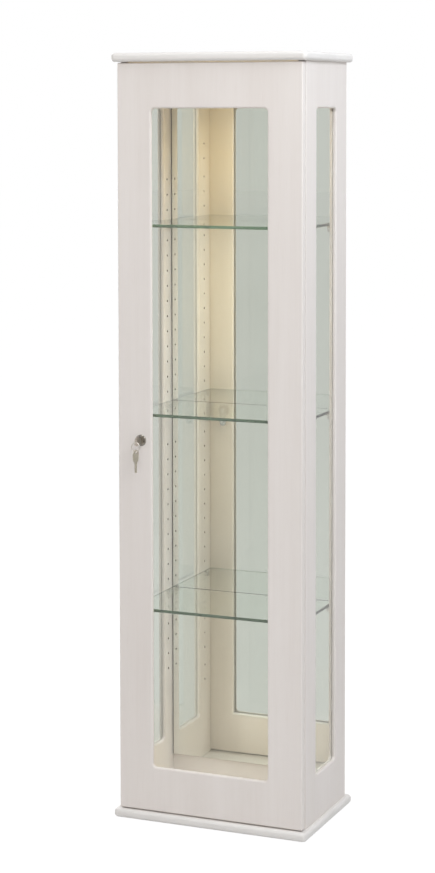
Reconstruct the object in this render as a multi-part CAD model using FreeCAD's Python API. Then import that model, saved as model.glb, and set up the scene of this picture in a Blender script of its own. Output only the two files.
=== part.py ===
import FreeCAD, Part
import math
import os

# A tall, narrow display case: a veneered carcass with glazed sides and a mirror back, a glazed
# overlay door on two concealed cup hinges, a cam lock with two keys, a recessed lamp and three
# glass shelves on pins. Millimetres, +Z up, +Y to the back, origin under the middle of the base board.

# Case
case_height = 1560.0
carcass_width = 400.0
side_depth = 232.5
panel_thick = 18.0
board_thick = 18.0
board_side_overhang = 10.0
board_front_overhang = 10.0
board_rear_overhang = 10.0
board_edge_round = 7.0
board_corner_round = 9.0
side_edge_round = 2.0

# Side windows: glass slid down a slot that is open at the top of the panel
side_front_stile = 56.0
side_rear_stile = 56.0
window_corner_round = 12.0
window_edge_round = 4.0
glass_thick = 4.0
glass_slot_depth = 8.0
glass_slot_clearance = 0.15
glass_edge_clearance = 0.5
side_glass_cover = 7.0

# Back: a mirror glued to a panel that is screwed into a rabbet of the sides
rear_rabbet_width = 9.0
rear_rabbet_depth = 19.0
back_thick = 6.0
back_clearance = 0.5
mirror_thick = 4.0
mirror_side_clearance = 1.0
mirror_end_margin = 52.0

# Shelf holes on the 32 mm pitch, in two runs that mirror about the middle of the panel
hole_pitch = 32.0
hole_run_count = 16
hole_first_offset = 40.0
hole_radius = 2.5
hole_depth = 11.0
front_row_setback = 33.0
rear_row_setback = 20.0
hinge_hole_offset = 40.0

# Glass shelves and their pins; a shelf's place is the count of holes between it and the middle
shelf_thick = 6.0
shelf_side_clearance = 1.5
shelf_front_setback = 4.0
shelf_rear_clearance = 1.0
shelf_bevel = 0.6
upper_shelf_hole_count = 12
middle_shelf_hole_count = 0
lower_shelf_hole_count = 10
pin_clearance = 0.05
pin_end_clearance = 0.5
pin_head_radius = 6.6
pin_head_length = 9.0
pin_head_round = 1.0
pin_rest_height = 6.0
shelf_rest_gap = 0.2

# Door
door_thick = 16.5
door_gap = 1.0
door_side_reveal = 1.0
door_end_gap = 2.0
door_edge_round = 2.5
door_stile = 70.0
door_rail = 87.0
door_rabbet_depth = 10.4
door_rabbet_margin = 9.0
door_glass_clearance = 1.0
glazing_gap = 0.3
bead_width = 5.5
bead_round = 4.0
bead_fit = 0.3
bumper_radius = 4.0
bumper_inset = 8.0
bumper_end_inset = 20.0

# Concealed hinges: cup in the door, bent link, arm on a plate screwed to the side panel
cup_radius = 17.5
cup_bore_depth = 12.5
cup_edge_distance = 4.0
cup_wall = 0.8
cup_fit = 0.05
flange_thick = 1.0
flange_half_length = 30.0
flange_half_width = 9.5
flange_offset = 5.5
cup_screw_spacing = 48.0
arm_pivot_from_edge = 27.5
arm_pivot_depth = 13.0
cup_pivot_from_edge = 8.5
cup_pivot_depth = 9.5
link_knee_from_edge = 14.5
link_knee_depth = 6.4
link_thick = 1.6
link_half_width = 6.0
link_eye_radius = 2.0
pivot_radius = 1.0
pivot_fit = 0.05
arm_cheek_gap = 0.6
arm_sheet = 1.2
arm_nose_radius = 2.6
arm_height = 11.0
arm_rear_setback = 45.0
plate_thick = 2.0
plate_half_length = 24.0
plate_half_width = 11.0
plate_boss_half_width = 6.2
plate_boss_front = 12.0
plate_boss_rear = 43.0
arm_screw_setback = 24.0

# Cam lock, keys and ring
lock_backset = 50.0
lock_body_radius = 9.4
lock_fit = 0.1
lock_bezel_radius = 11.5
lock_bezel_thick = 2.5
lock_bezel_round = 1.2
lock_tail = 8.0
lock_nut_width = 24.0
lock_nut_thick = 4.0
plug_radius = 6.0
plug_fit = 0.05
plug_tang = 7.0
cam_thick = 2.0
cam_width = 14.0
cam_reach = 29.0
cam_fit = 0.1
cam_screw_head_radius = 4.5
cam_screw_head = 2.5
cam_screw_radius = 2.0
cam_screw_length = 8.0
key_thick = 2.0
key_blade_width = 6.0
key_blade_length = 18.0
key_neck_width = 8.0
key_neck_length = 2.5
key_bow_length = 26.0
key_bow_width = 18.0
key_hole_radius = 2.75
key_hole_inset = 5.0
key_notch_count = 4
key_notch_depth = 1.6
keyway_fit = 0.15
ring_radius = 9.0
ring_wire = 0.9
ring_clearance = 0.6
spare_key_twist_deg = -14.0
strike_sheet = 2.0
strike_lip = 10.0
strike_height = 34.0
strike_leg = 24.0
strike_gap = 1.5
strike_screw_spacing = 18.0

# Lamp in a pocket under the top board, with a cable bore to the board's rear edge
lamp_setback = 112.0
lamp_radius = 28.5
lamp_pocket_clearance = 0.5
lamp_pocket_depth = 14.0
lamp_wall = 1.2
lamp_height = 13.0
lamp_trim_radius = 34.0
lamp_trim_thick = 2.5
lamp_trim_round = 1.0
lamp_trim_ledge = 3.0
lamp_lens_thick = 2.0
lamp_bulb_radius = 6.0
lamp_bulb_height = 8.0
lamp_cable_radius = 2.5
grommet_bore = 4.0
grommet_wall = 1.5
grommet_length = 8.0
grommet_flange = 2.0
grommet_flange_thick = 1.5
grommet_fit = 0.05

# Dowels and screws
dowel_radius = 4.0
dowel_length = 26.0
dowel_fit = 0.05
dowel_end_clearance = 1.0
board_dowel_front = 25.0
board_dowel_rear = 38.0
board_dowel_depth = 12.0
screw_radius = 1.75
screw_head_radius = 3.5
screw_head_height = 2.2
screw_length = 16.0
screw_fit = 0.05
short_screw_length = 9.0
back_screw_rows = 7
back_screw_end_inset = 60.0

# One overrun serves every cut that goes past a face
overrun = 2.0

# Levels and planes that follow from the sizes above
V = FreeCAD.Vector
half_carcass = carcass_width / 2
inner_half = half_carcass - panel_thick
half_board = half_carcass + board_side_overhang
board_depth = board_front_overhang + door_thick + door_gap + side_depth + board_rear_overhang
board_front = -board_depth / 2
door_front = board_front + board_front_overhang
door_back = door_front + door_thick
side_front = door_back + door_gap
case_rear = side_front + side_depth
board_rear = case_rear + board_rear_overhang
shoulder_y = case_rear - rear_rabbet_depth
mirror_front = shoulder_y - mirror_thick
front_row_y = side_front + front_row_setback
rear_row_y = mirror_front - rear_row_setback
side_bottom = board_thick
side_top = case_height - board_thick
middle_z = case_height / 2
door_half_width = half_carcass - door_side_reveal
door_bottom = side_bottom + door_end_gap
door_top = side_top - door_end_gap
window_bottom = door_bottom + door_rail
window_top = door_top - door_rail
hole_last_offset = hole_first_offset + hole_pitch * (hole_run_count - 1)
hinge_offset = hole_last_offset + hinge_hole_offset + hole_pitch / 2
hinge_levels = (middle_z + hinge_offset, middle_z - hinge_offset)
cup_x = door_half_width - cup_edge_distance - cup_radius
lock_x = -door_half_width + lock_backset
parts = {}


def box(x0, x1, y0, y1, z0, z1):
    """Solid block between two corners."""
    return Part.makeBox(x1 - x0, y1 - y0, z1 - z0, V(x0, y0, z0))


def rod(radius, start, end):
    """Round bar from one point to another."""
    along = end - start
    return Part.makeCylinder(radius, along.Length, start, along)


def turned(profile, base, axis):
    """Solid turned from (radius, distance) points about an axis through base."""
    points = [V(radius, 0, along) for radius, along in profile]
    face = Part.Face(Part.makePolygon(points + points[:1]))
    solid = face.revolve(V(0, 0, 0), V(0, 0, 1), 360)
    solid.Placement = FreeCAD.Placement(base, FreeCAD.Rotation(V(0, 0, 1), axis))
    return solid


def countersunk(tip_length, base, axis):
    """Countersunk screw: its head's flat top lies at base, its shank runs along axis."""
    profile = [(0, 0), (screw_head_radius, 0), (screw_radius, screw_head_height),
               (screw_radius, tip_length - screw_radius), (0, tip_length)]
    return turned(profile, base, axis)


def screw_hole(tip_length, base, axis):
    """Hole that takes a countersunk screw with its head flush."""
    wide = screw_head_radius + screw_fit
    slim = screw_radius + screw_fit
    profile = [(0, -overrun), (wide, -overrun), (wide, 0), (slim, screw_head_height),
               (slim, tip_length), (0, tip_length)]
    return turned(profile, base, axis)


def plate_outline(half_width, half_height, corner):
    """Closed wire of a rectangle with round corners, about the origin of the XZ plane."""
    inner_w = half_width - corner
    inner_h = half_height - corner
    reach = corner * math.sqrt(0.5)
    edges = []
    for sx, sz in ((1, 1), (-1, 1), (-1, -1), (1, -1)):
        side = V(sx * half_width, 0, sz * inner_h)
        end = V(sx * inner_w, 0, sz * half_height)
        mid = V(sx * (inner_w + reach), 0, sz * (inner_h + reach))
        first, last = (side, end) if sx == sz else (end, side)
        if edges:
            edges.append(Part.makeLine(edges[-1].valueAt(edges[-1].LastParameter), first))
        edges.append(Part.Arc(first, mid, last).toShape())
    edges.append(Part.makeLine(edges[-1].valueAt(edges[-1].LastParameter), edges[0].valueAt(
        edges[0].FirstParameter)))
    return Part.Wire(edges)


def slab(half_width, half_height, corner, y0, y1, x=0.0, z=0.0):
    """Round-cornered plate that faces the front, between two planes."""
    solid = Part.Face(plate_outline(half_width, half_height, corner)).extrude(V(0, y1 - y0, 0))
    solid.translate(V(x, y0, z))
    return solid


def edges_on(shape, test):
    """Edges of a shape whose end points and middle all pass a test."""
    picked = []
    for edge in shape.Edges:
        first, last = edge.FirstParameter, edge.LastParameter
        samples = [edge.valueAt(first + (last - first) * step / 2) for step in range(3)]
        if all(test(point) for point in samples):
            picked.append(edge)
    return picked


def near(a, b):
    """True when two lengths agree."""
    return abs(a - b) < overrun / 1000


def group(solids):
    """Separate solids kept as one node."""
    return Part.makeCompound(solids)


def hole_levels():
    """Heights of one row of shelf holes, from the middle of the panel outwards."""
    steps = [hole_first_offset + hole_pitch * step for step in range(hole_run_count)]
    return [middle_z + side * step for step in steps for side in (1, -1)]


def shelf_level(index, side):
    """Height of the pins' axis for a shelf in the upper (+1) or lower (-1) run of holes."""
    return middle_z + side * (hole_first_offset + hole_pitch * index)


def board(z0):
    """Top or base board: bullnosed along the front and both ends, square at the back."""
    turn = board_corner_round
    reach = turn * (1 - math.sqrt(0.5))
    rear_left = V(-half_board, board_rear, z0)
    rear_right = V(half_board, board_rear, z0)
    left_in = V(-half_board, board_front + turn, z0)
    left_out = V(-half_board + turn, board_front, z0)
    right_in = V(half_board - turn, board_front, z0)
    right_out = V(half_board, board_front + turn, z0)
    left_mid = V(-half_board + reach, board_front + reach, z0)
    right_mid = V(half_board - reach, board_front + reach, z0)
    wire = Part.Wire([
        Part.makeLine(rear_left, left_in), Part.Arc(left_in, left_mid, left_out).toShape(),
        Part.makeLine(left_out, right_in), Part.Arc(right_in, right_mid, right_out).toShape(),
        Part.makeLine(right_out, rear_right), Part.makeLine(rear_right, rear_left)])
    solid = Part.Face(wire).extrude(V(0, 0, board_thick))
    nosed = edges_on(solid, lambda p: near(p.z, z0) or near(p.z, z0 + board_thick))
    nosed = [edge for edge in nosed if not near(edge.CenterOfMass.y, board_rear)]
    return solid.makeFillet(board_edge_round, nosed)


def board_dowel_points():
    """Places of the upright dowels that join the sides to the top and base boards."""
    ys = (side_front + board_dowel_front, case_rear - board_dowel_rear)
    return [(side * (half_carcass - panel_thick / 2), y) for side in (-1, 1) for y in ys]


def board_dowel(x, y, level, outward, radius, spare):
    """Upright dowel across the joint at a level; outward is the way into the board."""
    into_board = V(x, y, level + outward * (board_dowel_depth + spare))
    into_side = V(x, y, level - outward * (dowel_length - board_dowel_depth + spare))
    return rod(radius, into_side, into_board)


def all_board_dowels(radius, spare):
    """All upright dowels, or the holes for them."""
    joints = ((side_bottom, -1), (side_top, 1))
    return [board_dowel(x, y, level, outward, radius, spare)
            for level, outward in joints for x, y in board_dowel_points()]


def side_window():
    """Middle and half sizes of a side window, measured where its round-overs meet the faces."""
    front = side_front + side_front_stile
    rear = case_rear - side_rear_stile
    return (front + rear) / 2, (rear - front) / 2, (window_top - window_bottom) / 2


def side_panel(side):
    """Side panel with its window, glass slot, rear rabbet, shelf holes and dowel holes."""
    x_in, x_out = side * inner_half, side * half_carcass
    low, high = min(x_in, x_out), max(x_in, x_out)
    solid = box(low, high, side_front, case_rear, side_bottom, side_top)
    front_edges = edges_on(solid, lambda p: near(p.y, side_front))
    solid = solid.makeFillet(side_edge_round, [e for e in front_edges if near(
        abs(e.CenterOfMass.x), inner_half) or near(abs(e.CenterOfMass.x), half_carcass)])
    mid_y, half_y, half_z = side_window()
    opening_y, opening_z = half_y - window_edge_round, half_z - window_edge_round
    cut = slab(opening_y, opening_z, window_corner_round - window_edge_round,
               -panel_thick / 2 - overrun, panel_thick / 2 + overrun)
    cut.rotate(V(0, 0, 0), V(0, 0, 1), 90)
    cut.translate(V((x_in + x_out) / 2, mid_y, middle_z))
    solid = solid.cut(cut)

    def on_rim(p):
        inside = abs(p.y - mid_y) < half_y and abs(p.z - middle_z) < half_z
        return inside and (near(p.x, x_in) or near(p.x, x_out))

    solid = solid.makeFillet(window_edge_round, edges_on(solid, on_rim))
    slot_low, slot_high = side_glass_span(side, glass_slot_clearance)
    deep_y = opening_y + glass_slot_depth
    slot = box(slot_low, slot_high, mid_y - deep_y, mid_y + deep_y,
               middle_z - opening_z - glass_slot_depth, side_top + overrun)
    rabbet_in, rabbet_out = side * (inner_half - overrun), side * (inner_half + rear_rabbet_width)
    rabbet = box(min(rabbet_in, rabbet_out), max(rabbet_in, rabbet_out), shoulder_y,
                 case_rear + overrun, side_bottom - overrun, side_top + overrun)
    holes = [shelf_hole(side, y, z) for y in (front_row_y, rear_row_y) for z in hole_levels()]
    holes += [shelf_hole(side, front_row_y, level + step * hole_pitch / 2)
              for level in hinge_levels for step in (-1, 1)]
    holes += all_board_dowels(dowel_radius + dowel_fit, dowel_end_clearance)
    holes += [screw_hole(screw_length, base, axis) for base, axis in back_screw_places()]
    if side < 0:
        holes += [screw_hole(short_screw_length, base, axis) for base, axis in strike_screw_places()]
    return solid.cut([slot, rabbet] + holes)


def side_glass_span(side, spare):
    """X range of a side pane, or of its slot with spare room."""
    outer = side * (half_carcass - side_glass_cover)
    inner = outer - side * glass_thick
    return min(outer, inner) - spare, max(outer, inner) + spare


def side_glass(side):
    """Pane that stands in the slot of a side panel."""
    low, high = side_glass_span(side, 0)
    mid_y, half_y, half_z = side_window()
    reach_y = half_y - window_edge_round + glass_slot_depth - glass_edge_clearance
    base = middle_z - half_z + window_edge_round - glass_slot_depth
    top = middle_z + half_z - window_edge_round + glass_slot_depth
    return box(low, high, mid_y - reach_y, mid_y + reach_y, base, top)


def shelf_hole(side, y, z):
    """Blind hole for a shelf pin or a hinge screw."""
    mouth = V(side * (inner_half - overrun), y, z)
    return rod(hole_radius, mouth, V(side * (inner_half + hole_depth), y, z))


def shelf(index, run):
    """Glass shelf with bevelled edges, lying on its pins."""
    z0 = shelf_level(index, run) + pin_rest_height
    half = inner_half - shelf_side_clearance
    y0 = side_front + shelf_front_setback
    solid = box(-half, half, y0, mirror_front - shelf_rear_clearance, z0, z0 + shelf_thick)
    return solid.makeChamfer(shelf_bevel, solid.Edges)


def shelf_pin(side, y, z):
    """Pin with a soft round head, flattened where the glass lies on it."""
    shank = hole_radius - pin_clearance
    tip = hole_depth - pin_end_clearance
    soft = pin_head_radius - pin_head_round
    profile = [(0, -pin_head_length), (soft, -pin_head_length),
               (pin_head_radius, -pin_head_length + pin_head_round), (pin_head_radius, 0),
               (shank, 0), (shank, tip), (0, tip)]
    solid = turned(profile, V(side * inner_half, y, z), V(side, 0, 0))
    reach = pin_head_length + overrun
    cap = box(-reach, reach, -pin_head_radius - overrun, pin_head_radius + overrun,
              pin_rest_height - shelf_rest_gap, pin_head_radius + overrun)
    cap.translate(V(side * (inner_half - pin_head_length / 2), y, z))
    return solid.cut(cap)


def shelf_pins(index, run):
    """The four pins under one shelf."""
    z = shelf_level(index, run)
    return group([shelf_pin(side, y, z) for side in (-1, 1) for y in (front_row_y, rear_row_y)])


def back_screw_places():
    """Head centres and directions of the screws that hold the back panel."""
    rear = shoulder_y + back_thick
    low, high = side_bottom + back_screw_end_inset, side_top - back_screw_end_inset
    step = (high - low) / (back_screw_rows - 1)
    edge_x = inner_half + rear_rabbet_width / 2
    levels = [low + step * row for row in range(back_screw_rows)]
    return [(V(side * edge_x, rear, level), V(0, -1, 0)) for side in (-1, 1) for level in levels]


def lamp_centre():
    """Middle of the lamp at the top board's underside."""
    return V(0, side_front + lamp_setback, side_top)


def cable_outlet():
    """Middle of the cable outlet on the top board's rear edge."""
    return V(0, board_rear, side_top + board_thick / 2)


def top_board():
    """Top board with the lamp's pocket underneath, and the cable bore and its outlet behind."""
    lamp = lamp_centre()
    mouth = cable_outlet()
    pocket_radius = lamp_radius + lamp_pocket_clearance
    pocket = rod(pocket_radius, lamp - V(0, 0, overrun), lamp + V(0, 0, lamp_pocket_depth))
    way = rod(grommet_bore, V(lamp.x, lamp.y, mouth.z), mouth)
    sleeve = grommet_bore + grommet_wall + grommet_fit
    flange = sleeve + grommet_flange
    outlet = [(0, -grommet_length), (sleeve, -grommet_length), (sleeve, -grommet_flange_thick),
              (flange, -grommet_flange_thick), (flange, overrun), (0, overrun)]
    cuts = all_board_dowels(dowel_radius + dowel_fit, dowel_end_clearance)
    return board(side_top).cut(cuts + [pocket, way, turned(outlet, mouth, V(0, 1, 0))])


def back_panel():
    """Back panel in the rabbet of the sides."""
    half = inner_half + rear_rabbet_width - back_clearance
    solid = box(-half, half, shoulder_y, shoulder_y + back_thick, side_bottom + back_clearance,
                side_top - back_clearance)
    return solid.cut([screw_hole(screw_length, base, axis) for base, axis in back_screw_places()])


def mirror():
    """Mirror glued to the front of the back panel, short of it at both ends."""
    half = inner_half - mirror_side_clearance
    return box(-half, half, mirror_front, shoulder_y, side_bottom + mirror_end_margin,
               side_top - mirror_end_margin)


def lamp_parts():
    """Lamp housing, trim ring, lens and bulb, all turned about the lamp's axis."""
    base = lamp_centre()
    up = V(0, 0, 1)
    inner = lamp_radius - lamp_wall
    top = lamp_height
    housing = [(lamp_radius, 0), (lamp_radius, top), (0, top), (0, top - lamp_wall),
               (inner, top - lamp_wall), (inner, 0)]
    open_radius = inner - lamp_trim_ledge
    soft = lamp_trim_radius - lamp_trim_round
    trim = [(open_radius, 0), (lamp_trim_radius, 0), (lamp_trim_radius, lamp_trim_round - lamp_trim_thick),
            (soft, -lamp_trim_thick), (open_radius + lamp_trim_round, -lamp_trim_thick)]
    lens = [(0, 0), (inner - lamp_wall, 0), (inner - lamp_wall, lamp_lens_thick), (0, lamp_lens_thick)]
    bulb_top = top - lamp_wall
    waist = lamp_bulb_radius - lamp_trim_round
    bulb = [(0, bulb_top), (waist, bulb_top), (lamp_bulb_radius, bulb_top - lamp_trim_round),
            (lamp_bulb_radius, bulb_top - lamp_bulb_height + lamp_trim_round),
            (waist, bulb_top - lamp_bulb_height), (0, bulb_top - lamp_bulb_height)]
    entry = V(base.x, base.y, cable_outlet().z)
    cable_hole = rod(lamp_cable_radius, entry, entry + V(0, lamp_radius + overrun, 0))
    parts["lamp_housing"] = turned(housing, base, up).cut(cable_hole)
    parts["lamp_trim"] = turned(trim, base, up)
    parts["lamp_lens"] = turned(lens, base, up)
    parts["lamp_bulb"] = turned(bulb, base, up)


def cable_grommet():
    """Sleeve with a flange, pushed into the cable outlet and flush with the board's rear edge."""
    sleeve = grommet_bore + grommet_wall
    flange = sleeve + grommet_flange
    profile = [(grommet_bore, -grommet_length), (sleeve, -grommet_length), (sleeve, -grommet_flange_thick),
               (flange, -grommet_flange_thick), (flange, 0), (grommet_bore, 0)]
    return turned(profile, cable_outlet(), V(0, 1, 0))


def door_window(spare):
    """Half width and half height of the door's opening, widened by spare."""
    half_x = door_half_width - door_stile - window_edge_round + spare
    return half_x, (window_top - window_bottom) / 2 - window_edge_round + spare


def door_panel():
    """One-piece door with a round-cornered window, a glass rabbet, cup bores and the lock's bore."""
    solid = box(-door_half_width, door_half_width, door_front, door_back, door_bottom, door_top)
    solid = solid.makeFillet(door_edge_round, solid.Edges)
    half_x, half_z = door_window(0)
    opening = slab(half_x, half_z, window_corner_round - window_edge_round, door_front - overrun,
                   door_back + overrun, 0, middle_z)
    solid = solid.cut(opening)

    def on_front_rim(p):
        inside = abs(p.x) < half_x + overrun and abs(p.z - middle_z) < half_z + overrun
        return near(p.y, door_front) and inside

    solid = solid.makeFillet(window_edge_round, edges_on(solid, on_front_rim))
    wide_x, wide_z = door_window(door_rabbet_margin)
    cuts = [box(-wide_x, wide_x, door_back - door_rabbet_depth, door_back + overrun, middle_z - wide_z,
                middle_z + wide_z)]
    for level in hinge_levels:
        floor = V(cup_x, door_back - cup_bore_depth, level)
        cuts.append(rod(cup_radius + cup_fit, floor, V(cup_x, door_back + overrun, level)))
        cuts += [screw_hole(short_screw_length, base, axis) for base, axis in cup_screw_places(level)]
    cuts.append(rod(lock_body_radius + lock_fit, V(lock_x, door_front - overrun, middle_z),
                    V(lock_x, door_back + overrun, middle_z)))
    return solid.cut(cuts)


def door_glass():
    """Pane in the door's rabbet."""
    half_x, half_z = door_window(door_rabbet_margin - door_glass_clearance)
    y0 = door_back - door_rabbet_depth + glazing_gap
    return box(-half_x, half_x, y0, y0 + glass_thick, middle_z - half_z, middle_z + half_z)


def door_bead(turn):
    """Mitred glazing bead along one edge of the rabbet: turn 0 is the top, then on by quarter turns."""
    half_x, half_z = door_window(door_rabbet_margin - bead_fit)
    run, rise = (half_x, half_z) if turn % 2 == 0 else (half_z, half_x)
    y0 = door_back - door_rabbet_depth + glass_thick + 2 * glazing_gap
    mitre = bead_fit / 2
    points = [V(-run + mitre, y0, rise), V(run - mitre, y0, rise),
              V(run - bead_width - mitre, y0, rise - bead_width),
              V(-run + bead_width + mitre, y0, rise - bead_width)]
    solid = Part.Face(Part.makePolygon(points + points[:1])).extrude(V(0, door_back - y0, 0))
    inner = edges_on(solid, lambda p: near(p.z, rise - bead_width) and near(p.y, door_back))
    solid = solid.makeFillet(bead_round, inner)
    solid.rotate(V(0, 0, 0), V(0, 1, 0), 90 * turn)
    solid.translate(V(0, 0, middle_z))
    return solid


def door_bumpers():
    """Clear pads on the door's back that meet the left side panel's front edge."""
    x = -door_half_width + bumper_inset
    levels = (door_bottom + bumper_end_inset, door_top - bumper_end_inset)
    return group([rod(bumper_radius, V(x, door_back, z), V(x, side_front, z)) for z in levels])


def hinge_point(from_edge, depth, z):
    """Point of a hinge, by its distance from the door's right edge and from the door's front."""
    return V(door_half_width - from_edge, door_front + depth, z)


def cup_screw_places(level):
    """Head centres and directions of a cup's two screws, on the flange."""
    x = cup_x - flange_offset
    return [(V(x, door_back + flange_thick, level + side * cup_screw_spacing / 2), V(0, -1, 0))
            for side in (-1, 1)]


def hinge_cup(level):
    """Pressed cup with a long flange, bored for the cup pivot."""
    depth = cup_bore_depth
    inner = cup_radius - cup_wall
    profile = [(0, -depth), (cup_radius, -depth), (cup_radius, 0), (inner, 0),
               (inner, cup_wall - depth), (0, cup_wall - depth)]
    solid = turned(profile, V(cup_x, door_back, level), V(0, 1, 0))
    flange = slab(flange_half_width, flange_half_length, flange_half_width - overrun, door_back,
                  door_back + flange_thick, cup_x - flange_offset, level)
    mouth = rod(inner, V(cup_x, door_back - overrun, level), V(cup_x, door_back + overrun, level))
    solid = solid.fuse(flange.cut(mouth)).removeSplitter()
    cuts = [screw_hole(short_screw_length, base, axis) for base, axis in cup_screw_places(level)]
    cuts.append(cup_pivot(level, pivot_radius + pivot_fit))
    return solid.cut(cuts)


def cup_pivot(level, radius):
    """Pivot pin across the cup, or its hole; it reaches the cup's outer wall on both sides."""
    centre = hinge_point(cup_pivot_from_edge, cup_pivot_depth, level)
    pin = rod(radius, centre - V(0, 0, cup_radius), centre + V(0, 0, cup_radius))
    floor = V(cup_x, door_back - cup_bore_depth, level)
    return pin.common(rod(cup_radius - cup_fit, floor, V(cup_x, door_back, level)))


def arm_pivot(level, radius):
    """Pivot pin across the arm's cheeks, or its hole."""
    centre = hinge_point(arm_pivot_from_edge, arm_pivot_depth, level)
    half = link_half_width + arm_cheek_gap + arm_sheet
    return rod(radius, centre - V(0, 0, half), centre + V(0, 0, half))


def strap(start, end, half_width):
    """Flat strap between two upright edges, as thick as a link."""
    along = end - start
    across = V(-along.y, along.x, 0)
    across.normalize()
    across.multiply(link_thick / 2)
    corners = [start + across, end + across, end - across, start - across]
    face = Part.Face(Part.makePolygon(corners + corners[:1]))
    solid = face.extrude(V(0, 0, 2 * half_width))
    solid.translate(V(0, 0, -half_width))
    return solid


def hinge_link(level):
    """Bent link: an eye on each pivot and a knee that dips into the cup when the door is shut."""
    arm_end = hinge_point(arm_pivot_from_edge, arm_pivot_depth, level)
    knee = hinge_point(link_knee_from_edge, link_knee_depth, level)
    cup_end = hinge_point(cup_pivot_from_edge, cup_pivot_depth, level)
    tall = V(0, 0, link_half_width)
    solid = rod(link_eye_radius, arm_end - tall, arm_end + tall)
    pieces = [rod(link_eye_radius, cup_end - tall, cup_end + tall),
              rod(link_thick / 2, knee - tall, knee + tall),
              strap(arm_end, knee, link_half_width), strap(knee, cup_end, link_half_width)]
    solid = solid.fuse(pieces).removeSplitter()
    bore = pivot_radius + pivot_fit
    return solid.cut([rod(bore, end - tall * 2, end + tall * 2) for end in (arm_end, cup_end)])


def hinge_arm(level):
    """Channel-shaped arm over the plate's boss, with two cheeks that hold the arm pivot."""
    pivot = hinge_point(arm_pivot_from_edge, arm_pivot_depth, level)
    half = link_half_width + arm_cheek_gap
    web_x = inner_half - plate_thick - arm_height
    rear = side_front + arm_rear_setback
    cheek = [V(pivot.x - arm_nose_radius, pivot.y, 0), V(pivot.x + arm_nose_radius, pivot.y, 0),
             V(inner_half - plate_thick - arm_sheet, side_front + plate_boss_front, 0),
             V(inner_half - plate_thick - arm_sheet, rear, 0), V(web_x, rear, 0),
             V(web_x, side_front + plate_boss_front, 0)]
    outline = Part.Face(Part.makePolygon(cheek + cheek[:1]))
    solids = []
    for z0 in (level - half - arm_sheet, level + half):
        plate = outline.extrude(V(0, 0, arm_sheet))
        plate.translate(V(0, 0, z0))
        nose = rod(arm_nose_radius, V(pivot.x, pivot.y, z0), V(pivot.x, pivot.y, z0 + arm_sheet))
        solids.append(plate.fuse(nose))
    web = box(web_x, web_x + arm_sheet, side_front + plate_boss_front, rear, level - half - arm_sheet,
              level + half + arm_sheet)
    solid = web.fuse(solids).removeSplitter()
    return solid.cut([arm_pivot(level, pivot_radius + pivot_fit), arm_screw_hole(level)])


def arm_screw_place(level):
    """Centre of the arm's fixing screw on the web's outer face."""
    return V(inner_half - plate_thick - arm_height, side_front + arm_screw_setback, level)


def arm_screw_hole(level):
    """Clearance hole for the arm's fixing screw, through the web and into the boss."""
    start = arm_screw_place(level) - V(overrun, 0, 0)
    return rod(screw_radius + screw_fit, start, arm_screw_place(level) + V(arm_height, 0, 0))


def arm_screw(level):
    """Pan-headed screw that clamps the arm to the plate's boss."""
    profile = [(0, -screw_head_height), (screw_head_radius - screw_fit, -screw_head_height),
               (screw_head_radius, 0), (screw_radius, 0), (screw_radius, short_screw_length),
               (0, short_screw_length)]
    return turned(profile, arm_screw_place(level), V(1, 0, 0))


def hinge_plate(level):
    """Mounting plate: a base screwed to the side panel and a boss that the arm straddles."""
    x0 = inner_half - plate_thick
    base = slab(plate_half_width, plate_half_length, plate_half_width - overrun, 0, plate_thick)
    base.rotate(V(0, 0, 0), V(0, 0, 1), -90)
    base.translate(V(x0, front_row_y, level))
    front = side_front + plate_boss_front + arm_sheet
    boss = box(x0 - arm_height + arm_sheet, inner_half, front, side_front + plate_boss_rear,
               level - plate_boss_half_width, level + plate_boss_half_width)
    solid = base.fuse(boss).removeSplitter()
    cuts = [screw_hole(short_screw_length, place, axis) for place, axis in plate_screw_places(level)]
    return solid.cut(cuts + [arm_screw_hole(level)])


def plate_screw_places(level):
    """Head centres and directions of a plate's two screws, in the front row's hinge holes."""
    x = inner_half - plate_thick
    return [(V(x, front_row_y, level + step * hole_pitch / 2), V(1, 0, 0)) for step in (-1, 1)]


def euro_screw(base, axis):
    """Plate screw: countersunk head and a shank that fills the system hole."""
    shank = hole_radius - pin_clearance
    profile = [(0, 0), (screw_head_radius, 0), (screw_radius, screw_head_height),
               (shank, screw_head_height), (shank, short_screw_length), (0, short_screw_length)]
    return turned(profile, base, axis)


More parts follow.
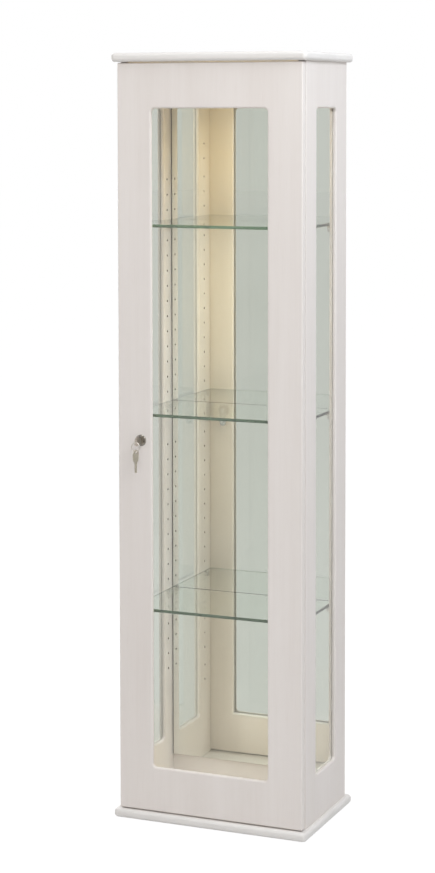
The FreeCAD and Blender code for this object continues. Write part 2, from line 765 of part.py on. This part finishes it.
def lock_parts():
    """Lock housing and nut on the door, then the plug, cam and cam screw that turn."""
    face = V(lock_x, door_front, middle_z)
    back = V(0, 1, 0)
    tail = door_thick + lock_tail
    bore = plug_radius + plug_fit
    soft = lock_bezel_radius - lock_bezel_round
    housing = [(bore, -lock_bezel_thick), (soft, -lock_bezel_thick),
               (lock_bezel_radius, lock_bezel_round - lock_bezel_thick), (lock_bezel_radius, 0),
               (lock_body_radius, 0), (lock_body_radius, tail), (bore, tail)]
    parts["lock_housing"] = turned(housing, face, back)
    across = lock_nut_width / math.sqrt(3)
    corners = [V(across * math.cos(math.radians(60 * step)), 0, across * math.sin(math.radians(60 * step)))
               for step in range(7)]
    nut = Part.Face(Part.makePolygon(corners)).extrude(V(0, lock_nut_thick, 0))
    nut.translate(V(lock_x, door_back, middle_z))
    parts["lock_nut"] = nut.cut(rod(lock_body_radius + lock_fit, face, face + V(0, tail, 0)))
    plug = rod(plug_radius, face - V(0, lock_bezel_thick, 0), face + V(0, tail, 0))
    half = plug_tang / 2
    tang = box(lock_x - half, lock_x + half, door_front + tail, door_front + tail + cam_thick,
               middle_z - half, middle_z + half)
    way_x = key_thick / 2 + keyway_fit
    way_z = key_blade_width / 2 + keyway_fit
    keyway = box(lock_x - way_x, lock_x + way_x, door_front - lock_bezel_thick - overrun,
                 door_front - lock_bezel_thick + key_blade_length + keyway_fit, middle_z - way_z,
                 middle_z + way_z)
    seat = face + V(0, tail + cam_thick, 0)
    thread = rod(cam_screw_radius + screw_fit, seat - V(0, cam_screw_length, 0), seat + V(0, overrun, 0))
    parts["lock_plug"] = plug.fuse(tang).cut([keyway, thread])
    parts["lock_cam"] = lock_cam(door_front + tail, half + cam_fit)
    screw = [(0, cam_screw_head), (cam_screw_head_radius - screw_fit, cam_screw_head),
             (cam_screw_head_radius, 0), (cam_screw_radius, 0), (cam_screw_radius, -cam_screw_length),
             (0, -cam_screw_length)]
    parts["cam_screw"] = turned(screw, seat, back)


def lock_cam(y0, half_hole):
    """Flat cam that points down while the door is unlocked."""
    half = cam_width / 2
    low = middle_z - cam_reach + half
    arm = box(lock_x - half, lock_x + half, y0, y0 + cam_thick, low, middle_z)
    ends = [rod(half, V(lock_x, y0, z), V(lock_x, y0 + cam_thick, z)) for z in (low, middle_z)]
    hole = box(lock_x - half_hole, lock_x + half_hole, y0 - overrun, y0 + cam_thick + overrun,
               middle_z - half_hole, middle_z + half_hole)
    return arm.fuse(ends).removeSplitter().cut(hole)


def key():
    """Key with its blade along +Y from the origin, its bow in front and its flat faces to the sides."""
    half = key_thick / 2
    bow_mid = -key_neck_length - key_bow_length / 2
    bow = slab(key_bow_length / 2, key_bow_width / 2, key_bow_width / 2 - ring_clearance, -half, half)
    bow.rotate(V(0, 0, 0), V(0, 0, 1), 90)
    bow.translate(V(0, bow_mid, 0))
    neck_reach = key_neck_length + key_bow_length / 4
    neck = box(-half, half, -neck_reach, 0, -key_neck_width / 2, key_neck_width / 2)
    blade_half = key_blade_width / 2
    blade = box(-half, half, -key_neck_length, key_blade_length, -blade_half, blade_half)
    hole = rod(key_hole_radius, V(-half - overrun, key_hole_y(), 0), V(half + overrun, key_hole_y(), 0))
    pitch = key_blade_length / (key_notch_count + 1)
    notches = []
    for step in range(key_notch_count):
        y = pitch * (step + 1)
        tooth = [V(-half - overrun, y - pitch / 3, -blade_half - overrun),
                 V(-half - overrun, y, key_notch_depth - blade_half),
                 V(-half - overrun, y + pitch / 3, -blade_half - overrun)]
        notch = Part.Face(Part.makePolygon(tooth + tooth[:1])).extrude(V(key_thick + 2 * overrun, 0, 0))
        notches.append(notch)
    return bow.fuse([neck, blade]).removeSplitter().cut([hole] + notches)


def key_hole_y():
    """Place of the bow's hole along the key."""
    return key_hole_inset - key_neck_length - key_bow_length


def key_parts():
    """Key in the lock, ring through its bow, and the spare key hanging on the ring."""
    shoulder = V(lock_x, door_front - lock_bezel_thick, middle_z)
    inserted = key()
    inserted.translate(shoulder)
    parts["key"] = inserted
    hang = shoulder + V(0, key_hole_y(), 0)
    drop = key_hole_radius - ring_wire - ring_clearance
    ring_middle = hang - V(0, 0, drop + ring_radius)
    parts["key_ring"] = Part.makeTorus(ring_radius, ring_wire, ring_middle, V(0, 1, 0))
    spare = key()
    spare.translate(V(0, -key_hole_y(), 0))
    spare.rotate(V(0, 0, 0), V(1, 0, 0), -90)
    spare.rotate(V(0, 0, 0), V(0, 0, 1), spare_key_twist_deg)
    spare.translate(ring_middle - V(0, 0, ring_radius + drop))
    parts["spare_key"] = spare


def strike_screw_places():
    """Head centres and directions of the strike's two screws."""
    x = strike_sheet - inner_half
    y = side_front + strike_leg / 2 + strike_lip / 2
    return [(V(x, y, middle_z + side * strike_screw_spacing / 2), V(-1, 0, 0)) for side in (-1, 1)]


def strike_plate():
    """Angle on the left side panel; its lip stands in front of the turned cam."""
    lip_y = door_back + lock_tail - strike_gap - strike_sheet
    low, high = middle_z - strike_height / 2, middle_z + strike_height / 2
    lip = box(-inner_half, strike_lip - inner_half, lip_y, lip_y + strike_sheet, low, high)
    leg = box(-inner_half, strike_sheet - inner_half, lip_y, lip_y + strike_leg, low, high)
    solid = lip.fuse(leg).removeSplitter()
    return solid.cut([screw_hole(short_screw_length, base, axis) for base, axis in strike_screw_places()])


def build():
    """Make every piece and put it in the table of nodes."""
    parts["base_board"] = board(0).cut(all_board_dowels(dowel_radius + dowel_fit, dowel_end_clearance))
    parts["top_board"] = top_board()
    parts["board_dowels"] = group(all_board_dowels(dowel_radius, 0))
    for name, side in (("left", -1), ("right", 1)):
        parts[name + "_side_panel"] = side_panel(side)
        parts[name + "_side_glass"] = side_glass(side)
    parts["back_panel"] = back_panel()
    parts["back_screws"] = group([countersunk(screw_length, base, axis)
                                  for base, axis in back_screw_places()])
    parts["mirror"] = mirror()
    parts["cable_grommet"] = cable_grommet()
    lamp_parts()
    shelves = (("upper", upper_shelf_hole_count, 1), ("middle", middle_shelf_hole_count, 1),
               ("lower", lower_shelf_hole_count, -1))
    for name, index, run in shelves:
        parts[name + "_shelf"] = shelf(index, run)
        parts[name + "_shelf_pins"] = shelf_pins(index, run)
    parts["door_panel"] = door_panel()
    parts["door_glass"] = door_glass()
    for turn, name in enumerate(("top", "right", "bottom", "left")):
        parts["door_bead_" + name] = door_bead(turn)
    parts["door_bumpers"] = door_bumpers()
    for name, level in zip(("upper", "lower"), hinge_levels):
        parts[name + "_hinge_cup"] = hinge_cup(level)
        parts[name + "_hinge_link"] = hinge_link(level)
        parts[name + "_hinge_arm"] = hinge_arm(level)
        parts[name + "_hinge_plate"] = hinge_plate(level)
    parts["hinge_cup_pins"] = group([cup_pivot(level, pivot_radius) for level in hinge_levels])
    parts["hinge_arm_pins"] = group([arm_pivot(level, pivot_radius) for level in hinge_levels])
    parts["hinge_arm_screws"] = group([arm_screw(level) for level in hinge_levels])
    parts["hinge_plate_screws"] = group([euro_screw(base, axis) for level in hinge_levels
                                         for base, axis in plate_screw_places(level)])
    parts["hinge_cup_screws"] = group([countersunk(short_screw_length, base, axis) for level in hinge_levels
                                       for base, axis in cup_screw_places(level)])
    lock_parts()
    key_parts()
    parts["strike_plate"] = strike_plate()
    parts["strike_screws"] = group([countersunk(short_screw_length, base, axis)
                                    for base, axis in strike_screw_places()])


build()
os.makedirs("parts", exist_ok=True)
for node, shape in parts.items():
    shape.exportStep("parts/" + node + ".step")
print(len(parts), "nodes written")
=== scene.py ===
import math

import bpy
from mathutils import Matrix, Vector


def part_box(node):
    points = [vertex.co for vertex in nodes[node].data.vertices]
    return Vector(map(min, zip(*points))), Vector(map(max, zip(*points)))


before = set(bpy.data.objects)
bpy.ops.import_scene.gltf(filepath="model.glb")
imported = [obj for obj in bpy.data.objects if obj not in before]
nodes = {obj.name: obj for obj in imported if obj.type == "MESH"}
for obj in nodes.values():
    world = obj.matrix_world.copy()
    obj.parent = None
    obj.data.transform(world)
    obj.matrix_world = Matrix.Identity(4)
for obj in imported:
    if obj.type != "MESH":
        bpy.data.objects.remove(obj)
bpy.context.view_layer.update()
scene = bpy.context.scene

WHITE = (1.0, 1.0, 1.0)

# Masks in the materials, in metres: small sizes, and places taken from the frame
MASK_SLACK = 0.0005
MIRROR_GAP_SHADE = 0.0013
SHELF_ARRIS = 0.0007
HOLE_SKIN = 0.0003
HOLE_DEPTH = 0.0115
HOLE_REACH = 0.0026
PIN_HEAD_RADIUS = 0.0066
PANEL_INNER_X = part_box("right_side_panel")[0].x
MIRROR_END_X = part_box("mirror")[1].x
SHELF_FRONT_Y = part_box("upper_shelf")[0].y
FRONT_HOLES_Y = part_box("upper_shelf_pins")[0].y + PIN_HEAD_RADIUS
REAR_HOLES_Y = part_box("upper_shelf_pins")[1].y - PIN_HEAD_RADIUS

# Sockets of a Mix node that mixes colours
MIX_COLOUR_INPUTS = (0, 6, 7)
MIX_COLOUR_OUTPUT = 2


def new_material(name):
    """Empty node material; returns it with its tree and its output node."""
    mat = bpy.data.materials.new(name)
    mat.use_nodes = True
    tree = mat.node_tree
    tree.nodes.clear()
    out = tree.nodes.new("ShaderNodeOutputMaterial")
    return mat, tree, out


def feed(tree, socket, value):
    """Links a socket to another one, or sets it to a number, a vector or a colour."""
    if isinstance(value, bpy.types.NodeSocket):
        tree.links.new(value, socket)
    elif socket.type == "RGBA":
        socket.default_value = (*value, 1)
    else:
        socket.default_value = value


def add(tree, kind, **values):
    """Shader node of a kind, with its inputs fed by name."""
    node = tree.nodes.new("ShaderNode" + kind)
    for key, value in values.items():
        feed(tree, node.inputs[key.replace("_", " ")], value)
    return node


def maths(tree, operation, *values):
    """Result of a sum or a test over numbers and sockets."""
    node = tree.nodes.new("ShaderNodeMath")
    node.operation = operation
    for socket, value in zip(node.inputs, values):
        feed(tree, socket, value)
    return node.outputs[0]


def mix(tree, kind, share, first, second):
    """First colour with a share of the second, by a kind of blending."""
    node = tree.nodes.new("ShaderNodeMix")
    node.data_type = "RGBA"
    node.blend_type = kind
    for slot, value in zip(MIX_COLOUR_INPUTS, (share, first, second)):
        feed(tree, node.inputs[slot], value)
    return node.outputs[MIX_COLOUR_OUTPUT]


def mix_shaders(tree, share, first, second):
    """First shader with a share of the second."""
    node = tree.nodes.new("ShaderNodeMixShader")
    for socket, value in zip(node.inputs, (share, first, second)):
        tree.links.new(value, socket)
    return node.outputs[0]


def noise(tree, scale, detail, rough=0.5, stretch=(1, 1, 1), shift=(0, 0, 0), turn=(0, 0, 0)):
    """Noise value over object space, turned and stretched along the axes."""
    coord = add(tree, "TexCoord")
    mapping = add(tree, "Mapping", Vector=coord.outputs["Object"], Location=shift, Rotation=turn,
                  Scale=stretch)
    texture = add(tree, "TexNoise", Vector=mapping.outputs["Vector"], Scale=scale, Detail=detail,
                  Roughness=rough)
    return texture.outputs["Fac"]


def ramp(tree, value, dark, pale, stops=(0.3, 0.7)):
    """Colour that goes from dark to pale between two stops of a value."""
    node = add(tree, "ValToRGB", Fac=value)
    for element, stop, colour in zip(node.color_ramp.elements, stops, (dark, pale)):
        element.position = stop
        element.color = (*colour, 1)
    return node.outputs["Color"]


def linear(*srgb):
    """Linear colour of an sRGB colour given in 0 to 255."""
    shares = [value / 255 for value in srgb]
    return tuple(s / 12.92 if s <= 0.04045 else ((s + 0.055) / 1.055) ** 2.4 for s in shares)


def along(tree, axis):
    """Place along an axis of object space, which is the frame's at rest."""
    coord = add(tree, "TexCoord")
    return add(tree, "SeparateXYZ", Vector=coord.outputs["Object"]).outputs[axis]


def off_middle(tree):
    """Distance to the left or right of the middle plane."""
    return maths(tree, "ABSOLUTE", along(tree, "X"))


def between(tree, value, low, high):
    """1 where a value lies between two numbers."""
    over = maths(tree, "GREATER_THAN", value, low)
    under = maths(tree, "LESS_THAN", value, high)
    return maths(tree, "MULTIPLY", over, under)


def hole_core_shade_mask(tree):
    """1 inside the shelf holes of the side panels, where the bare core, darkened with painted shade, goes."""
    inside = between(tree, off_middle(tree), PANEL_INNER_X + HOLE_SKIN, PANEL_INNER_X + HOLE_DEPTH)
    rows = [between(tree, along(tree, "Y"), row - HOLE_REACH, row + HOLE_REACH)
            for row in (FRONT_HOLES_Y, REAR_HOLES_Y)]
    return maths(tree, "MULTIPLY", inside, maths(tree, "ADD", *rows))


def shelf_edge_mask(tree):
    """1 on the front edge of the shelves, where the ground edge and its painted glow go."""
    return between(tree, along(tree, "Y"), SHELF_FRONT_Y - MASK_SLACK, SHELF_FRONT_Y + SHELF_ARRIS)


def mirror_gap_shade_mask(tree):
    """1 down the side edges of the mirror, where painted shade stands for the gap to the side panels."""
    return between(tree, off_middle(tree), MIRROR_END_X - MIRROR_GAP_SHADE, MIRROR_END_X + MASK_SLACK)


def drawn_out(grain, share):
    """Stretch that draws a pattern out along the grain axis."""
    return tuple(share if axis == grain else 1 for axis in "xyz")


def veneer(name, pale, dark, grain, core_and_shade=None):
    """White-stained veneer with clouds, faint figure and fine pores; the optional colour in the shelf holes is
    the bare core, darkened with painted shade.
    """
    slant = (math.radians(2.5), math.radians(2.5), 0)
    cloud_share, fine_share = 0.10, 0.03
    figure_share, pore_share = 0.25, 0.28
    mat, tree, out = new_material(name)
    fine = drawn_out(grain, fine_share)
    clouds = noise(tree, scale=9, detail=4, rough=0.55, stretch=drawn_out(grain, cloud_share))
    streaks = noise(tree, scale=90, detail=5, rough=0.6, stretch=fine, shift=(3.1, 1.7, 0.4), turn=slant)
    pores = noise(tree, scale=700, detail=3, rough=0.6, stretch=fine, shift=(0.3, 5.2, 2.2), turn=slant)
    figure = ramp(tree, streaks, dark=(0.93, 0.915, 0.90), pale=WHITE, stops=(0.34, 0.60))
    specks = ramp(tree, pores, dark=(0.92, 0.90, 0.88), pale=WHITE, stops=(0.30, 0.42))
    colour = mix(tree, "MULTIPLY", figure_share, ramp(tree, clouds, dark, pale), figure)
    colour = mix(tree, "MULTIPLY", pore_share, colour, specks)
    # Shelf holes: bare core of the board, darkened with painted shade
    if core_and_shade:
        colour = mix(tree, "MIX", hole_core_shade_mask(tree), colour, core_and_shade)
    bump = add(tree, "Bump", Strength=0.05, Distance=0.0003, Height=pores)
    shader = add(tree, "BsdfPrincipled", Base_Color=colour, Roughness=0.38, IOR=1.45,
                 Normal=bump.outputs["Normal"])
    tree.links.new(shader.outputs["BSDF"], out.inputs["Surface"])
    return mat


def metal(name, pale, dark, rough):
    """Plated metal with faint clouds in its colour and its gloss."""
    low_share, high_share = 0.8, 1.25
    mat, tree, out = new_material(name)
    clouds = noise(tree, scale=240, detail=4, rough=0.6)
    gloss = add(tree, "MapRange", Value=clouds, To_Min=rough * low_share, To_Max=rough * high_share)
    shader = add(tree, "BsdfPrincipled", Base_Color=ramp(tree, clouds, dark, pale), Metallic=1.0,
                 Roughness=gloss.outputs["Result"])
    tree.links.new(shader.outputs["BSDF"], out.inputs["Surface"])
    return mat


def plain(name, pale, dark, rough):
    """Wood, plastic or paint with a faint mottle."""
    mat, tree, out = new_material(name)
    mottle = ramp(tree, noise(tree, scale=60, detail=4), dark, pale)
    shader = add(tree, "BsdfPrincipled", Base_Color=mottle, Roughness=rough, IOR=1.45)
    tree.links.new(shader.outputs["BSDF"], out.inputs["Surface"])
    return mat


def float_glass(tree, pale, dark):
    """Clear polished glass with a faint wash on its faces."""
    wash = ramp(tree, noise(tree, scale=6, detail=3), dark, pale)
    shader = add(tree, "BsdfPrincipled", Base_Color=wash, Roughness=0.0, IOR=1.5, Transmission_Weight=1.0)
    return shader.outputs["BSDF"]


def pane_glass(name, pale, dark):
    """Glass of the door and the side windows."""
    mat, tree, out = new_material(name)
    tree.links.new(float_glass(tree, pale, dark), out.inputs["Surface"])
    return mat


def shelf_glass(name, pale, dark, green, density, ground_and_glow):
    """Glass of the shelves: green in its depth, with a ground front edge that is partly dull and pale green;
    the pale green is partly painted light, the glow of light carried through the glass to its edge.
    """
    glow_and_dull_share = 0.36
    mat, tree, out = new_material(name)
    # Ground edge: dull pale green, partly painted light of the glow that the glass carries to its edge
    edge = add(tree, "BsdfDiffuse", Color=ground_and_glow)
    glow_and_dull = maths(tree, "MULTIPLY", shelf_edge_mask(tree), glow_and_dull_share)
    surface = mix_shaders(tree, glow_and_dull, float_glass(tree, pale, dark), edge.outputs["BSDF"])
    tree.links.new(surface, out.inputs["Surface"])
    depth = add(tree, "VolumeAbsorption", Color=green, Density=density)
    tree.links.new(depth.outputs["Volume"], out.inputs["Volume"])
    return mat


def silvered(name, pale, dark, edge):
    """Silvered mirror with a faint green wash and a dark line down each side edge, which is painted shade of
    the gap between the mirror and the side panels.
    """
    mat, tree, out = new_material(name)
    wash = ramp(tree, noise(tree, scale=5, detail=3), dark, pale)
    # Dark line down the side edges: painted shade of the gap to the side panels
    colour = mix(tree, "MIX", mirror_gap_shade_mask(tree), wash, edge)
    shader = add(tree, "BsdfPrincipled", Base_Color=colour, Metallic=1.0, Roughness=0.0)
    tree.links.new(shader.outputs["BSDF"], out.inputs["Surface"])
    return mat


def glowing(name, pale, dark, glow, strength):
    """Frosted glass lit from within."""
    mat, tree, out = new_material(name)
    frost = ramp(tree, noise(tree, scale=120, detail=3), dark, pale)
    shader = add(tree, "BsdfPrincipled", Base_Color=frost, Roughness=0.5, Emission_Color=glow,
                 Emission_Strength=strength)
    tree.links.new(shader.outputs["BSDF"], out.inputs["Surface"])
    return mat


def paint(material, *names):
    """Gives CAD nodes a material."""
    for name in names:
        slots = nodes[name].data.materials
        slots.clear()
        slots.append(material)


# Wood
UPRIGHT_PALE, UPRIGHT_DARK = linear(229, 222, 217), linear(222, 214, 208)
LEVEL_PALE, LEVEL_DARK = linear(229, 225, 221), linear(221, 217, 213)
paint(veneer("veneer_upright", UPRIGHT_PALE, UPRIGHT_DARK, grain="z"),
      "door_panel", "back_panel", "door_bead_left", "door_bead_right")
# Side panels, with painted shade in their shelf holes
paint(veneer("veneer_drilled", UPRIGHT_PALE, UPRIGHT_DARK, grain="z", core_and_shade=linear(96, 78, 58)),
      "left_side_panel", "right_side_panel")
paint(veneer("veneer_level", LEVEL_PALE, LEVEL_DARK, grain="x"),
      "base_board", "top_board", "door_bead_top", "door_bead_bottom")
paint(plain("beech", pale=linear(205, 165, 115), dark=linear(180, 138, 92), rough=0.6), "board_dowels")

# Glass, which lets the light of the lamps through and so casts no shadow
PANES = ("left_side_glass", "right_side_glass", "door_glass")
SHELVES = ("upper_shelf", "middle_shelf", "lower_shelf")
paint(pane_glass("pane_glass", pale=(0.945, 0.962, 0.925), dark=(0.93, 0.948, 0.91)), *PANES)
# Shelf edges: their pale green is partly painted light, the glow of light carried through the glass
paint(shelf_glass("shelf_glass", pale=(0.985, 1.0, 0.99), dark=(0.97, 0.99, 0.975),
                  green=(0.40, 0.74, 0.52), density=6.0, ground_and_glow=(0.28, 0.39, 0.27)), *SHELVES)
for name in PANES + SHELVES:
    nodes[name].visible_shadow = False

# Mirror, with painted shade down its side edges
paint(silvered("mirror_silver", pale=(0.90, 0.915, 0.88), dark=(0.88, 0.895, 0.86), edge=(0.11, 0.09, 0.07)),
      "mirror")

# Metal
paint(metal("nickel", pale=(0.74, 0.72, 0.68), dark=(0.62, 0.60, 0.57), rough=0.22),
      "upper_shelf_pins", "middle_shelf_pins", "lower_shelf_pins", "upper_hinge_plate", "lower_hinge_plate",
      "upper_hinge_arm", "lower_hinge_arm", "upper_hinge_link", "lower_hinge_link", "upper_hinge_cup",
      "lower_hinge_cup", "hinge_arm_pins", "hinge_cup_pins", "lock_nut", "lock_cam")
# Lock: dark nickel, whose strong dark and pale clouds are partly painted reflection of a dark room with
# painted glints
paint(metal("lock_metal", pale=(0.56, 0.52, 0.46), dark=(0.11, 0.10, 0.085), rough=0.18),
      "lock_housing", "lock_plug")
paint(metal("key_metal", pale=(0.80, 0.75, 0.68), dark=(0.62, 0.57, 0.51), rough=0.30),
      "key", "key_ring", "spare_key")
paint(metal("zinc", pale=(0.62, 0.63, 0.65), dark=(0.48, 0.49, 0.51), rough=0.35),
      "back_screws", "strike_screws", "hinge_plate_screws", "hinge_arm_screws", "hinge_cup_screws",
      "cam_screw", "strike_plate")

# Plastic and the lamp
paint(plain("black_grommet", pale=linear(38, 38, 38), dark=linear(26, 26, 26), rough=0.5), "cable_grommet")
paint(plain("clear_pads", pale=linear(235, 235, 232), dark=linear(222, 223, 220), rough=0.2), "door_bumpers")
paint(plain("lamp_white", pale=linear(236, 234, 228), dark=linear(226, 223, 216), rough=0.35),
      "lamp_trim", "lamp_housing")
paint(glowing("lamp_glow", pale=(0.95, 0.92, 0.85), dark=(0.85, 0.80, 0.70), glow=(1.0, 0.80, 0.52),
              strength=3.0), "lamp_lens", "lamp_bulb")


def shows_backdrop(tree):
    """1 for rays that show the backdrop: straight, mirrored or through glass."""
    path = add(tree, "LightPath")
    straight_or_mirrored = maths(tree, "MAXIMUM", path.outputs["Is Camera Ray"], path.outputs["Is Glossy Ray"])
    return maths(tree, "MAXIMUM", straight_or_mirrored, path.outputs["Is Transmission Ray"])


def backdrop_level(tree, straight, indirect):
    """Strength of the backdrop: one level straight to the eye, another in the panes and the mirror."""
    path = add(tree, "LightPath")
    return maths(tree, "MULTIPLY_ADD", path.outputs["Is Camera Ray"], straight - indirect, indirect)


def make_floor():
    """Floor that is white to the eye, with a faint shadow, and pale for the light that it gives back."""
    size, drop = 60, 0.0005
    bpy.ops.mesh.primitive_plane_add(size=size, location=(0, 0, -drop))
    plane = bpy.context.object
    plane.name = "floor"
    mat, tree, out = new_material("floor_white")
    shaded = add(tree, "BsdfDiffuse", Color=(0.10, 0.10, 0.10))
    glow = add(tree, "Emission", Strength=backdrop_level(tree, straight=0.955, indirect=0.595))
    shown = add(tree, "AddShader")
    tree.links.new(shaded.outputs["BSDF"], shown.inputs[0])
    tree.links.new(glow.outputs["Emission"], shown.inputs[1])
    bounce = add(tree, "BsdfDiffuse", Color=(0.8, 0.8, 0.8))
    surface = mix_shaders(tree, shows_backdrop(tree), bounce.outputs["BSDF"], shown.outputs[0])
    tree.links.new(surface, out.inputs["Surface"])
    plane.data.materials.append(mat)
    return plane


def make_world():
    """World that is white to the eye, grey in the panes and the mirror, and a soft light all round."""
    world = bpy.data.worlds.new("studio")
    world.use_nodes = True
    tree = world.node_tree
    tree.nodes.clear()
    out = tree.nodes.new("ShaderNodeOutputWorld")
    soft = add(tree, "Background", Color=WHITE, Strength=0.45)
    shown = add(tree, "Background", Color=WHITE, Strength=backdrop_level(tree, straight=1.0, indirect=0.66))
    surface = mix_shaders(tree, shows_backdrop(tree), soft.outputs[0], shown.outputs[0])
    tree.links.new(surface, out.inputs["Surface"])
    return world


floor = make_floor()
scene.world = make_world()


def softbox(name, place, target, width, height, power, colour=WHITE):
    """Area lamp that looks at a point; sizes in metres, power in watts."""
    data = bpy.data.lights.new(name, "AREA")
    data.shape = "RECTANGLE"
    data.size = width
    data.size_y = height
    data.energy = power
    data.color = colour
    lamp = bpy.data.objects.new(name, data)
    scene.collection.objects.link(lamp)
    lamp.location = place
    lamp.rotation_euler = (Vector(target) - Vector(place)).to_track_quat("-Z", "Y").to_euler()
    return lamp


# Lamps of the studio
softbox("key", place=(0.3, -2.9, 3.3), target=(0, 0, 1.2), width=2.0, height=2.0, power=31)
softbox("side", place=(1.6, -0.4, 2.6), target=(0.2, 0, 1.4), width=1.0, height=1.0, power=26,
        colour=(0.84, 0.91, 1.0))
softbox("corner", place=(1.5, -1.6, 2.5), target=(0.1, -0.1, 1.3), width=0.9, height=0.9, power=12)
softbox("left_front", place=(-2.4, -1.5, 2.3), target=(-0.2, 0, 0.9), width=1.2, height=2.2, power=6.5)
softbox("left_back", place=(-2.0, 1.8, 1.4), target=(-0.2, 0, 0.8), width=1.2, height=2.4, power=32)
softbox("top", place=(0.9, -2.2, 8.0), target=(0, -0.13, 0.8), width=2.5, height=2.5, power=60)

# Hidden lamps in the bays, in metres, which help the case's own lamp and stay clear of the pieces around them
LAMP_GAP = 0.004
TOP_DROP = 0.112
AHEAD = 1.0
DOWN_WIDTH, DOWN_DEPTH = 0.20, 0.12
BACK_WIDTH, BACK_X = 0.26, 0.035
FRONT_WIDTH = 0.33
LAMP_Y = (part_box("lamp_lens")[0].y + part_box("lamp_lens")[1].y) / 2
MIRROR_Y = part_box("mirror")[0].y - LAMP_GAP
DOOR_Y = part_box("door_panel")[1].y + LAMP_GAP
AMBER, WARM, CREAM = (1.0, 0.78, 0.40), (1.0, 0.87, 0.59), (1.0, 0.89, 0.66)


def bay_lamps(name, below, above, colour, straight, mirrored, returned, drop=LAMP_GAP):
    """Lamps between two pieces: the light straight down, and what the mirror and the door throw back."""
    low_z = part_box(below)[1].z + LAMP_GAP
    high_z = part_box(above)[0].z - drop
    mid_z = (low_z + high_z) / 2
    tall = high_z - low_z
    down = softbox(name + "_down", (0, LAMP_Y, high_z), (0, LAMP_Y, low_z),
                   DOWN_WIDTH, DOWN_DEPTH, straight, colour)
    back = softbox(name + "_back", (BACK_X, MIRROR_Y, mid_z), (BACK_X, MIRROR_Y - AHEAD, mid_z),
                   BACK_WIDTH, tall, mirrored, colour)
    front = softbox(name + "_front", (0, DOOR_Y, mid_z), (0, DOOR_Y + AHEAD, mid_z),
                    FRONT_WIDTH, tall, returned, colour)
    for lamp in (down, back, front):
        lamp.visible_camera = False
        lamp.visible_glossy = False
        lamp.visible_transmission = False


bay_lamps("top_bay", "upper_shelf", "top_board", AMBER, straight=0.12, mirrored=0.52, returned=0.02,
          drop=TOP_DROP)
bay_lamps("upper_bay", "middle_shelf", "upper_shelf", WARM, straight=0.05, mirrored=0.66, returned=0.02)
bay_lamps("middle_bay", "lower_shelf", "middle_shelf", CREAM, straight=0.03, mirrored=0.315, returned=0.01)
bay_lamps("low_bay", "base_board", "lower_shelf", CREAM, straight=0.02, mirrored=0.29, returned=0.01)

# Camera of the photograph, solved from its straight edges: place in metres, sensor in millimetres
YAW, PITCH, ROLL = math.radians(22.93), math.radians(3.76), math.radians(0.09)
CAMERA_PLACE = (1.68144, -4.05904, 1.45377)
FOCAL_PX, CENTRE_X_PX, CENTRE_Y_PX = 2164.36, 216.48, 248.13
WIDE_PX, HIGH_PX = 435, 873
SENSOR = 36.0
CLIP_END = 100


def make_camera():
    """Camera turned by yaw, pitch and roll, with the picture's centre shifted."""
    forward = Vector((-math.sin(YAW) * math.cos(PITCH), math.cos(YAW) * math.cos(PITCH), -math.sin(PITCH)))
    level_right = Vector((math.cos(YAW), math.sin(YAW), 0))
    level_up = level_right.cross(forward)
    right = level_right * math.cos(ROLL) - level_up * math.sin(ROLL)
    up = level_up * math.cos(ROLL) + level_right * math.sin(ROLL)
    data = bpy.data.cameras.new("camera")
    data.sensor_width = SENSOR
    data.lens = FOCAL_PX * SENSOR / HIGH_PX
    data.shift_x = (WIDE_PX / 2 - CENTRE_X_PX) / HIGH_PX
    data.shift_y = (CENTRE_Y_PX - HIGH_PX / 2) / HIGH_PX
    data.clip_end = CLIP_END
    camera = bpy.data.objects.new("camera", data)
    scene.collection.objects.link(camera)
    turn = Matrix((right, up, -forward)).transposed()
    camera.matrix_world = Matrix.Translation(CAMERA_PLACE) @ turn.to_4x4()
    return camera


scene.camera = make_camera()
scene.view_settings.view_transform = "Standard"
